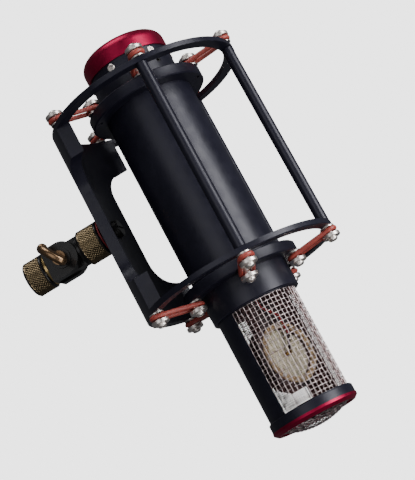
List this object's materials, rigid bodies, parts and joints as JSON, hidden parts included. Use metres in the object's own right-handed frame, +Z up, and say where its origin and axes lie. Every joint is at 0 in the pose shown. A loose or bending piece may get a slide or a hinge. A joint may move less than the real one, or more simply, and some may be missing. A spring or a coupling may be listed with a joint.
{
  "type": "large-diaphragm condenser microphone in elastic cage mount",
  "caption": "Studio microphone hanging grille-down by elastic loops inside a ringed cage mount, carried by a swivel with a threaded stand socket.",
  "frame": {"origin": "centre of the stand socket's mouth, on its thread axis", "axes": "+X along the socket's axis into the swivel, towards the cage; +Z up the microphone's axis from grille to cap; +Y across the swivel pivot, away from the thumb screw"},
  "size_m": [0.1622, 0.111, 0.2332],
  "materials": {
    "black_anodised": "satin black anodised",
    "black_sleeve": "knurled, blackened brass",
    "black_steel": "satin black",
    "red_anodised": "satin red anodised",
    "bright_chrome": "polished",
    "warm_nickel": "bright wire",
    "bronze": "satin bronze",
    "yellow_brass": "turned",
    "red_silicone": "smooth silicone",
    "red_fibre": "pressed fibre",
    "gold_film": "gold-sputtered film",
    "pale_gold": "satin",
    "black_plastic": "matte",
    "green_board": "lacquered laminate",
    "clear_glass": "blown glass",
    "steel_sheet": "pressed sheet",
    "copper_wire": "enamelled wire",
    "capacitor_film": "dipped",
    "red_lead": "insulated wire"
  },
  "bodies": {
    "stand": {"stand_collar": "black_sleeve", "thread_insert": "yellow_brass"},
    "fork": {"fork": "black_steel", "fork_neck": "yellow_brass", "spigot_nut": "black_steel", "brass_bush": "yellow_brass", "thumb_washer": "black_steel"},
    "thumb": {"thumb_screw": "bronze"},
    "swivel": {"tongue": "black_steel", "swivel_collar": "black_sleeve", "fibre_washer": "red_fibre", "cage_bolt": "black_steel"},
    "cage": {"ring_top": "black_anodised", "ring_bottom": "black_anodised", "rods": "black_anodised", "yoke": "black_anodised", "ring_post_spools": "bright_chrome", "ring_post_discs": "bright_chrome", "ring_post_screws": "bright_chrome"},
    "mic": {"body_tube": "black_anodised", "flange_top": "black_anodised", "flange_bottom": "black_anodised", "body_post_spools": "bright_chrome", "body_post_discs": "bright_chrome", "body_post_screws": "bright_chrome", "neck": "black_anodised", "neck_screws": "bright_chrome", "grub_screw": "black_steel", "cap": "red_anodised", "connector_shell": "warm_nickel", "connector_insert": "black_plastic", "connector_pins": "yellow_brass", "head_collar": "black_anodised", "head_frame": "black_anodised", "grille_mesh": "warm_nickel", "grille_lining": "warm_nickel", "end_plate": "black_plastic", "head_deck": "black_plastic", "end_band": "black_anodised", "end_ring": "red_anodised", "end_mesh": "warm_nickel", "capsule_body": "black_plastic", "clamp_rings": "pale_gold", "clamp_screws": "bright_chrome", "diaphragms": "gold_film", "centre_terminals": "yellow_brass", "contact_strips": "black_steel", "capsule_saddle": "black_plastic", "capsule_leads": "red_lead", "chassis_rails": "bright_chrome", "chassis_deck": "steel_sheet", "circuit_board": "green_board", "vacuum_tube": "clear_glass", "tube_socket": "black_plastic", "capacitors": "capacitor_film", "transformer_core": "steel_sheet", "transformer_coil": "copper_wire", "output_leads": "red_lead", "loops_top": "red_silicone", "loops_bottom": "red_silicone"}
  },
  "joints": [
    {"name": "swivel_pan", "type": "hinge", "parent": "stand", "child": "fork", "pos_m": [0.0125, 0, 0], "axis": [1, 0, 0], "range_deg": [-180, 180]},
    {"name": "thumb_turn", "type": "hinge", "parent": "fork", "child": "thumb", "pos_m": [0.0235, 0, 0], "axis": [0, 1, 0], "continuous": true},
    {"name": "swivel_tilt", "type": "hinge", "parent": "fork", "child": "swivel", "pos_m": [0.0235, 0, 0], "axis": [0, 1, 0], "range_deg": [-75, 75]},
    {"name": "cage_turn", "type": "hinge", "parent": "swivel", "child": "cage", "pos_m": [0.05, 0, 0], "axis": [1, 0, 0], "range_deg": [-180, 180]},
    {"name": "mic_float", "type": "slide", "parent": "cage", "child": "mic", "axis": [0, 0, 1], "range_m": [-0.004, 0.004], "stiffness_N_per_m": 2400, "springref_m": 0.00405, "deforming": ["loops_top", "loops_bottom"]}
  ]
}
